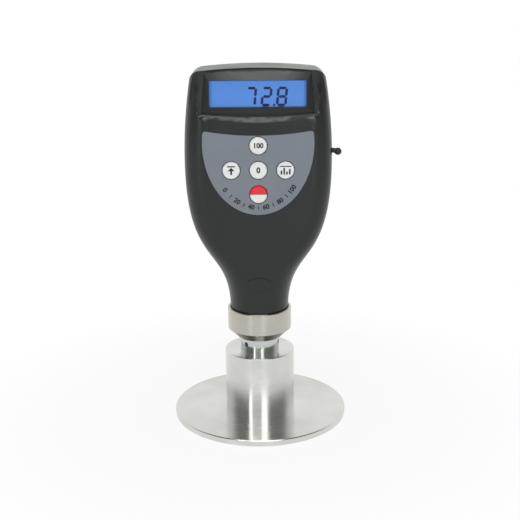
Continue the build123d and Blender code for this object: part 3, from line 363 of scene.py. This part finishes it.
def raised_front_shell():
    """Front shell whose display frame rises to the window out of a shallow dish.

    The CAD's front_shell has a recess there instead. This new mesh replaces it and leaves it unchanged.
    """
    source = frame["nodes"]["front_shell"]
    shape = bmesh.new()
    shape.from_mesh(source.data)
    bmesh.ops.remove_doubles(shape, verts=shape.verts, dist=WELD_DISTANCE)
    centre_z = (WINDOW_BOTTOM + WINDOW_TOP) / 2
    fall = (FRAME_FRONT - DISH_FLOOR) / (FRAME_FRONT - WINDOW_FLOOR)
    moves = []
    for vert in shape.verts:
        x, depth, z = vert.co.x, -vert.co.y, vert.co.z
        # the recess's slopes face the middle of the window, and the head's flanks face away from it
        outward = sum(side.normal.x * x + side.normal.z * (z - centre_z) for side in vert.link_faces)
        if outward < 0 and z > CREST_BOTTOM and depth > WINDOW_FLOOR - TOLERANCE:
            moves.append((vert, FRAME_FRONT - fall * (depth - WINDOW_FLOOR)))
            continue
        # below the window the dish's wall meets the case's flat face, and beside it the rounded corner
        beside = min(1.0, max(0.0, (z - LIP_TOP) / (SIDE_BOTTOM - LIP_TOP)))
        face = CASE_FACE - beside * (CASE_FACE - SIDE_FACE)
        if z > HEAD_BOTTOM and depth > face + TOLERANCE:
            moves.append((vert, face - (face - DISH_FLOOR) / (FRAME_FRONT - face) * (depth - face)))
    for vert, depth in moves:
        vert.co.y = -depth
    shape.normal_update()
    for facet in shape.faces:
        facet.smooth = True
    for edge in shape.edges:
        edge.smooth = len(edge.link_faces) == 2 and edge.calc_face_angle(0.0) < SLOPE_BREAK
    mesh = bpy.data.meshes.new("raised_front_shell")
    shape.to_mesh(mesh)
    shape.free()
    if "custom_normal" in mesh.attributes:
        mesh.attributes.remove(mesh.attributes["custom_normal"])
    piece = add_piece("raised_front_shell", mesh, case_black, "tester")
    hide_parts("front_shell")


raised_front_shell()


# ---------------------------------------------------------------- grip of the rubber plug
GRIP_RADIUS = 1.2 * MM
GRIP_DROP = 0.9 * MM  # the tip's middle is this far below the socket's
GRIP_BLUNTNESS = 5
GRIP_ROOT = 0.88  # radius at the case, as a share of the tip's
GRIP_END = 0.02  # least share of the radius squared, so that no ring closes to a point
GRIP_RINGS = 14
GRIP_SIDES = 24


def plug_grip():
    """Blunt moulded grip round the plug's pull tab, from the case's side to its tip."""
    low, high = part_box("socket_plug")
    socket_low, socket_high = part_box("data_socket")
    axis_y = (low[1] + high[1]) / 2
    axis_z = (socket_low[2] + socket_high[2]) / 2
    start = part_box("front_shell")[1][0]
    length = high[0] - start
    mesh = bpy.data.meshes.new("plug_grip")
    shape = bmesh.new()
    rings = []
    for step in range(GRIP_RINGS + 1):
        along = 0.5 - 0.5 * math.cos(math.pi * step / GRIP_RINGS)
        blunt = max(GRIP_END, 1 - abs(2 * along - 1) ** GRIP_BLUNTNESS) ** 0.5
        radius = GRIP_RADIUS * blunt * (GRIP_ROOT + (1 - GRIP_ROOT) * along)
        turns = [math.tau * side / GRIP_SIDES for side in range(GRIP_SIDES)]
        middle_z = axis_z - GRIP_DROP * along
        x = start + length * along
        rings.append([
            shape.verts.new((x, axis_y + radius * math.cos(turn), middle_z + radius * math.sin(turn)))
            for turn in turns
        ])
    for first, second in zip(rings, rings[1:]):
        for side in range(GRIP_SIDES):
            shape.faces.new((first[side - 1], first[side], second[side], second[side - 1]))
    for ring in (rings[0], rings[-1]):
        shape.faces.new(ring)
    bmesh.ops.recalc_face_normals(shape, faces=shape.faces)
    for facet in shape.faces:
        facet.smooth = True
    shape.to_mesh(mesh)
    shape.free()
    add_piece("plug_grip", mesh, rubber, "plug")


plug_grip()


# ---------------------------------------------------------------- flat printed pieces
PRINT_THICKNESS = 0.03 * MM
LETTER_WEIGHT = 0.04  # outline offset, as a share of the letter size
LETTER_STEPS = 3


def flat_piece(name, outlines, depth, material, body):
    """A thin printed layer that faces -Y: closed (x, z) outlines in metres on the plane y = depth."""
    mesh = bpy.data.meshes.new(name)
    shape = bmesh.new()
    for outline in outlines:
        corners = [shape.verts.new((x, depth, z)) for x, z in outline]
        face = shape.faces.new(corners)
        face.normal_update()
        if face.normal.y > 0:
            face.normal_flip()
        solid = bmesh.ops.extrude_face_region(shape, geom=[face])
        moved = [item for item in solid["geom"] if isinstance(item, bmesh.types.BMVert)]
        bmesh.ops.translate(shape, verts=moved, vec=(0, -PRINT_THICKNESS, 0))
    bmesh.ops.recalc_face_normals(shape, faces=shape.faces)
    shape.to_mesh(mesh)
    shape.free()
    add_piece(name, mesh, material, body)


def lettering(name, text, x, z, size, depth, body, turn=0.0):
    """Printed characters that face -Y, centred on (x, z) in metres and turned anticlockwise by turn."""
    curve = bpy.data.curves.new(name + "_curve", "FONT")
    curve.body = text
    curve.size = size
    curve.align_x = "CENTER"
    curve.align_y = "CENTER"
    curve.extrude = PRINT_THICKNESS / 2
    curve.offset = size * LETTER_WEIGHT
    curve.resolution_u = LETTER_STEPS
    source = bpy.data.objects.new(name + "_source", curve)
    bpy.context.scene.collection.objects.link(source)
    bpy.context.view_layer.update()
    mesh = bpy.data.meshes.new_from_object(source)
    bpy.data.objects.remove(source)
    place = Matrix.Translation((x, depth - PRINT_THICKNESS / 2, z))
    upright = Matrix.Rotation(math.radians(90), 4, "X")
    spin = Matrix.Rotation(turn, 4, "Z")
    mesh.transform(place @ upright @ spin)
    mesh.name = name
    mesh.materials.clear()
    add_piece(name, mesh, ink, body)


def bar(x, z, width, height, turn=0.0):
    """Corners of a bar centred on (x, z)."""
    corners = []
    for side, end in ((-1, -1), (1, -1), (1, 1), (-1, 1)):
        dx, dz = side * width / 2, end * height / 2
        corners.append(
            (x + dx * math.cos(turn) - dz * math.sin(turn), z + dx * math.sin(turn) + dz * math.cos(turn))
        )
    return corners


# ---------------------------------------------------------------- display digits
DIGIT_HEIGHT = 7.2 * MM
DIGIT_WIDTH = 3.55 * MM
DIGIT_PITCH = 6.6 * MM
DIGIT_LEFT = -4.95 * MM
DIGIT_BOTTOM = 145.35 * MM
STROKE = 1.12 * MM
DIGIT_SLANT = math.tan(math.radians(5.0))
SEGMENT_GAP = 0.1 * MM
POINT_SIZE = 0.85 * MM
POINT_LEAD = 1.25 * MM  # from the point to the last digit
INK_LIFT = 0.05 * MM
SEGMENTS = {"7": "abc", "2": "abged", "8": "abcdefg"}


def segment_outline(segment):
    """Six-cornered outline of one display segment, in a digit whose lower left corner is at 0, 0."""
    half = DIGIT_HEIGHT / 2
    width = DIGIT_WIDTH
    ends = {
        "a": ((0, 2 * half), (width, 2 * half)),
        "b": ((width, half), (width, 2 * half)),
        "c": ((width, 0), (width, half)),
        "d": ((0, 0), (width, 0)),
        "e": ((0, 0), (0, half)),
        "f": ((0, half), (0, 2 * half)),
        "g": ((0, half), (width, half)),
    }[segment]
    start, end = Vector(ends[0]), Vector(ends[1])
    along = (end - start).normalized()
    across = Vector((-along.y, along.x)) * STROKE / 2
    start += along * SEGMENT_GAP
    end -= along * SEGMENT_GAP
    inset = along * (STROKE / 2)
    near, far = start + inset, end - inset
    return [start, near - across, far - across, end, far + across, near + across]


def display_digits():
    panel_low, panel_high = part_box("lcd_panel")
    panel_face = panel_low[1]
    width, height = panel_high[0] - panel_low[0], panel_high[2] - panel_low[2]
    glowing_face = bar(0, (panel_low[2] + panel_high[2]) / 2, width, height)
    flat_piece("display_face", [glowing_face], panel_face, display_blue, "tester")
    outlines = []
    for index, character in enumerate("728"):
        left = DIGIT_LEFT + index * DIGIT_PITCH
        for segment in SEGMENTS[character]:
            outlines.append(
                [
                    (left + point.x + point.y * DIGIT_SLANT, DIGIT_BOTTOM + point.y)
                    for point in segment_outline(segment)
                ]
            )
    point_x = DIGIT_LEFT + 2 * DIGIT_PITCH - POINT_LEAD
    outlines.append(bar(point_x, DIGIT_BOTTOM, POINT_SIZE, POINT_SIZE))
    digits_ink = moulded_plastic("display_ink", srgb(4, 20, 92), 0.5, grain=0.000002, mottle=0.04)
    flat_piece("display_digits", outlines, panel_face - INK_LIFT, digits_ink, "tester")


display_digits()

# ---------------------------------------------------------------- key legends
KEY_X = 11.75 * MM
KEY_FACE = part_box("centre_key")[0][1]
UPPER_NUMBER_SIZE = 3.0 * MM
CENTRE_NUMBER_SIZE = 3.4 * MM
TOP_LINE = 1.75 * MM  # heights from the key's middle
ARROW_TIP = 1.3 * MM
ARROW_BASE = -0.2 * MM
ARROW_HALF = 1.5 * MM
STEM_MIDDLE = -1.0 * MM
STEM_SIZE = (0.75 * MM, 1.6 * MM)
LEFT_LINE_SIZE = (3.4 * MM, 0.5 * MM)
RIGHT_LINE_SIZE = (5.0 * MM, 0.4 * MM)
COLUMN_WIDTH = 0.7 * MM
COLUMN_FOOT = -1.8  # in millimetres, like each column's place and height
COLUMNS = ((-1.8, 1.7), (-0.6, 2.9), (0.6, 1.3), (1.8, 2.3))


def key_legends():
    lettering("upper_key_legend", "100", 0, KEY_ROW + KEY_STEP, UPPER_NUMBER_SIZE, KEY_FACE, "upper_key_body")
    lettering("centre_key_legend", "0", 0, KEY_ROW, CENTRE_NUMBER_SIZE, KEY_FACE, "centre_key_body")
    # left key: an arrow up to a bar, for the highest reading
    x, z = -KEY_X, KEY_ROW
    arrow = [
        [(x - ARROW_HALF, z + ARROW_BASE), (x + ARROW_HALF, z + ARROW_BASE), (x, z + ARROW_TIP)],
        bar(x, z + STEM_MIDDLE, *STEM_SIZE),
        bar(x, z + TOP_LINE, *LEFT_LINE_SIZE),
    ]
    flat_piece("left_key_legend", arrow, KEY_FACE, ink, "left_key_body")
    # right key: four columns of readings under the line of their mean
    columns = [
        bar(KEY_X + offset * MM, KEY_ROW + (height / 2 + COLUMN_FOOT) * MM, COLUMN_WIDTH, height * MM)
        for offset, height in COLUMNS
    ]
    columns.append(bar(KEY_X, KEY_ROW + TOP_LINE, *RIGHT_LINE_SIZE))
    flat_piece("right_key_legend", columns, KEY_FACE, ink, "right_key_body")


key_legends()

# ---------------------------------------------------------------- scale printed on the overlay
OVERLAY_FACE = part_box("keypad_overlay")[0][1]
SCALE_CENTRE_Z = 127.5 * MM
SCALE_RADIUS_X = 20.3 * MM
SCALE_RADIUS_Z = 26.4 * MM
SCALE_SPREAD = math.radians(46.0)
SCALE_NUMBERS = range(0, 101, 20)
SCALE_MARKS = range(0, 101, 10)
SCALE_NUMBER_SIZE = 2.9 * MM
TICK_WIDTH = 0.42 * MM
TICK_LENGTH = 1.7 * MM
KEY_RADIUS = 3.75 * MM
RING_GAP = 0.1 * MM
RING_WIDTH = 0.26 * MM
RING_STEPS = 40


def scale_point(share):
    """Point on the printed arc, share 0 at its left end and 1 at its right end, and its slope."""
    angle = (share - 0.5) * 2 * SCALE_SPREAD
    x = SCALE_RADIUS_X * math.sin(angle)
    z = SCALE_CENTRE_Z - SCALE_RADIUS_Z * math.cos(angle)
    slope = math.atan2(SCALE_RADIUS_Z * math.sin(angle), SCALE_RADIUS_X * math.cos(angle))
    return x, z, slope


def overlay_scale():
    """Plain numbers from 0 to 100 along the lower edge, with a tick midway between them."""
    ticks = []
    for number in SCALE_MARKS:
        x, z, slope = scale_point(number / 100)
        if number in SCALE_NUMBERS:
            name = f"scale_number_{number}"
            lettering(name, str(number), x, z, SCALE_NUMBER_SIZE, OVERLAY_FACE, "tester", turn=slope)
        else:
            ticks.append(bar(x, z, TICK_WIDTH, TICK_LENGTH, slope))
    flat_piece("scale_ticks", ticks, OVERLAY_FACE, ink, "tester")


def key_rings():
    """Dark ring round each key hole: a painted shadow of the gap between each key and the overlay."""
    outlines = []
    for key in ("upper", "left", "centre", "right", "power"):
        low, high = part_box(f"{key}_key")
        x, z = (low[0] + high[0]) / 2, (low[2] + high[2]) / 2
        inner, outer = KEY_RADIUS + RING_GAP, KEY_RADIUS + RING_GAP + RING_WIDTH
        corners = [math.tau * step / RING_STEPS for step in range(RING_STEPS + 1)]
        for first, second in zip(corners, corners[1:]):
            reach = ((inner, first), (inner, second), (outer, second), (outer, first))
            outlines.append(
                [(x + radius * math.cos(angle), z + radius * math.sin(angle)) for radius, angle in reach]
            )
    # the dark ink rings are painted shadow of the gaps round the keys
    flat_piece("key_rings", outlines, OVERLAY_FACE, ink, "tester")


key_rings()
overlay_scale()


# ---------------------------------------------------------------- floor, light and camera
FLOOR_HALF = 1.6
FLOOR_COLOUR = (0.82, 0.82, 0.82, 1)
FLOOR_ROUGHNESS = 0.7
FLOOR_WHITENESS = 0.9
FLOOR_SHADE_REACH = (0.05, 0.16)  # the floor turns fully white between these distances from the axis
WORLD_STRENGTH = 0.12
FRONT_DIM = 0.3
FRONT_RAMP = (-0.2, 0.5)
ABOVE_DIM = 0.25
ABOVE_RAMP = (0.45, 0.9)
LIGHT_TARGET = Vector((0, 0, 0.08))
# name, azimuth and elevation in degrees, distance, size, power
LIGHTS = (
    ("front_left_strip", -32.5, 20, 0.9, (0.1, 0.8), 1.1),
    ("front_right_box", 14.0, 20, 0.9, (0.24, 0.8), 1.2),
    ("overhead_soft_box", 0, 47, 1.0, (0.9, 0.42), 5.4),
)
CAMERA_PLACE = (0.0004, -0.430, 0.196)
CAMERA_PITCH = math.radians(90 - 15.87)
CAMERA_ROLL = math.radians(-0.45)
CAMERA_SENSOR = 36.0
CAMERA_LENS = 67.7


def pale_floor():
    """White table that keeps the object's shadow close to it and is plain white farther out.

    Its glow is seen by camera, glossy and transmission rays only, so it lights nothing by diffuse rays.
    """
    floor = Surface("pale_floor", FLOOR_COLOUR, FLOOR_ROUGHNESS)
    x, y, _ = floor.axes()
    whiteness = floor.spread(floor.radius(x, y), FLOOR_WHITENESS, 1.0, *FLOOR_SHADE_REACH)
    path = floor.node("ShaderNodeLightPath")
    seen = floor.math("MAXIMUM", path.outputs["Is Camera Ray"], path.outputs["Is Glossy Ray"])
    seen = floor.math("MAXIMUM", seen, path.outputs["Is Transmission Ray"])
    glow = floor.node("ShaderNodeEmission")
    mix = floor.node("ShaderNodeMixShader")
    floor.link(floor.math("MULTIPLY", seen, whiteness), mix.inputs[0])
    floor.link(floor.shader.outputs[0], mix.inputs[1])
    floor.link(glow.outputs[0], mix.inputs[2])
    floor.link(mix.outputs[0], floor.tree.nodes["Material Output"].inputs[0])
    return floor.material


def white_world():
    """Plain white to the camera; mirrored or seen through, white behind and dimmer above and in front."""
    world = bpy.data.worlds.new("studio")
    bpy.context.scene.world = world
    world.use_nodes = True
    tree = world.node_tree
    tree.nodes.clear()

    def node(kind, **settings):
        made = tree.nodes.new(kind)
        for key, value in settings.items():
            setattr(made, key, value)
        return made

    def ramp(source, start, end, low, high):
        made = node("ShaderNodeMapRange", interpolation_type="SMOOTHSTEP")
        tree.links.new(source, made.inputs["Value"])
        for socket, value in zip(("From Min", "From Max", "To Min", "To Max"), (start, end, low, high)):
            made.inputs[socket].default_value = value
        return made.outputs["Result"]

    direction = node("ShaderNodeSeparateXYZ")
    tree.links.new(node("ShaderNodeTexCoord").outputs["Generated"], direction.inputs[0])
    behind = ramp(direction.outputs["Y"], *FRONT_RAMP, FRONT_DIM, 1.0)
    above = ramp(direction.outputs["Z"], *ABOVE_RAMP, 1.0, ABOVE_DIM)
    shade = node("ShaderNodeMath", operation="MULTIPLY")
    tree.links.new(behind, shade.inputs[0])
    tree.links.new(above, shade.inputs[1])
    path = node("ShaderNodeLightPath")
    seen = node("ShaderNodeMath", operation="MAXIMUM")
    tree.links.new(path.outputs["Is Glossy Ray"], seen.inputs[0])
    tree.links.new(path.outputs["Is Transmission Ray"], seen.inputs[1])
    soft = node("ShaderNodeBackground")
    soft.inputs["Strength"].default_value = WORLD_STRENGTH
    mirrored = node("ShaderNodeBackground")
    tree.links.new(shade.outputs[0], mirrored.inputs["Strength"])
    white = node("ShaderNodeBackground")
    for background in (soft, mirrored, white):
        background.inputs["Color"].default_value = (1, 1, 1, 1)
    lit = node("ShaderNodeMixShader")
    tree.links.new(seen.outputs[0], lit.inputs[0])
    tree.links.new(soft.outputs[0], lit.inputs[1])
    tree.links.new(mirrored.outputs[0], lit.inputs[2])
    final = node("ShaderNodeMixShader")
    tree.links.new(path.outputs["Is Camera Ray"], final.inputs[0])
    tree.links.new(lit.outputs[0], final.inputs[1])
    tree.links.new(white.outputs[0], final.inputs[2])
    tree.links.new(final.outputs[0], node("ShaderNodeOutputWorld").inputs[0])


def area_light(name, azimuth, elevation, distance, size, power):
    """A soft box that faces the object's middle; azimuth 0 is in front, positive to the right."""
    data = bpy.data.lights.new(name, "AREA")
    data.shape = "RECTANGLE"
    data.size, data.size_y = size
    data.energy = power
    light = bpy.data.objects.new(name, data)
    bpy.context.scene.collection.objects.link(light)
    turn, rise = math.radians(azimuth), math.radians(elevation)
    outward = Vector((math.sin(turn) * math.cos(rise), -math.cos(turn) * math.cos(rise), math.sin(rise)))
    light.location = LIGHT_TARGET + outward * distance
    light.rotation_euler = (-outward).to_track_quat("-Z", "Y").to_euler()


def studio():
    floor_z = cad_box[0][2]
    mesh = bpy.data.meshes.new("floor")
    corners = [(x * FLOOR_HALF, y * FLOOR_HALF, floor_z) for x, y in ((-1, -1), (1, -1), (1, 1), (-1, 1))]
    mesh.from_pydata(corners, [], [(0, 1, 2, 3)])
    mesh.materials.append(pale_floor())
    floor = bpy.data.objects.new("floor", mesh)
    bpy.context.scene.collection.objects.link(floor)
    white_world()
    for settings in LIGHTS:
        area_light(*settings)


def photo_camera():
    """Camera in front of the display, a little above the case, looking down on the foot."""
    data = bpy.data.cameras.new("camera")
    data.sensor_width = CAMERA_SENSOR
    data.lens = CAMERA_LENS
    camera = bpy.data.objects.new("camera", data)
    bpy.context.scene.collection.objects.link(camera)
    tilt = Matrix.Rotation(CAMERA_PITCH, 4, "X") @ Matrix.Rotation(CAMERA_ROLL, 4, "Z")
    camera.matrix_world = Matrix.Translation(CAMERA_PLACE) @ tilt
    bpy.context.scene.camera = camera


studio()
photo_camera()
bpy.context.scene.view_settings.view_transform = "Standard"
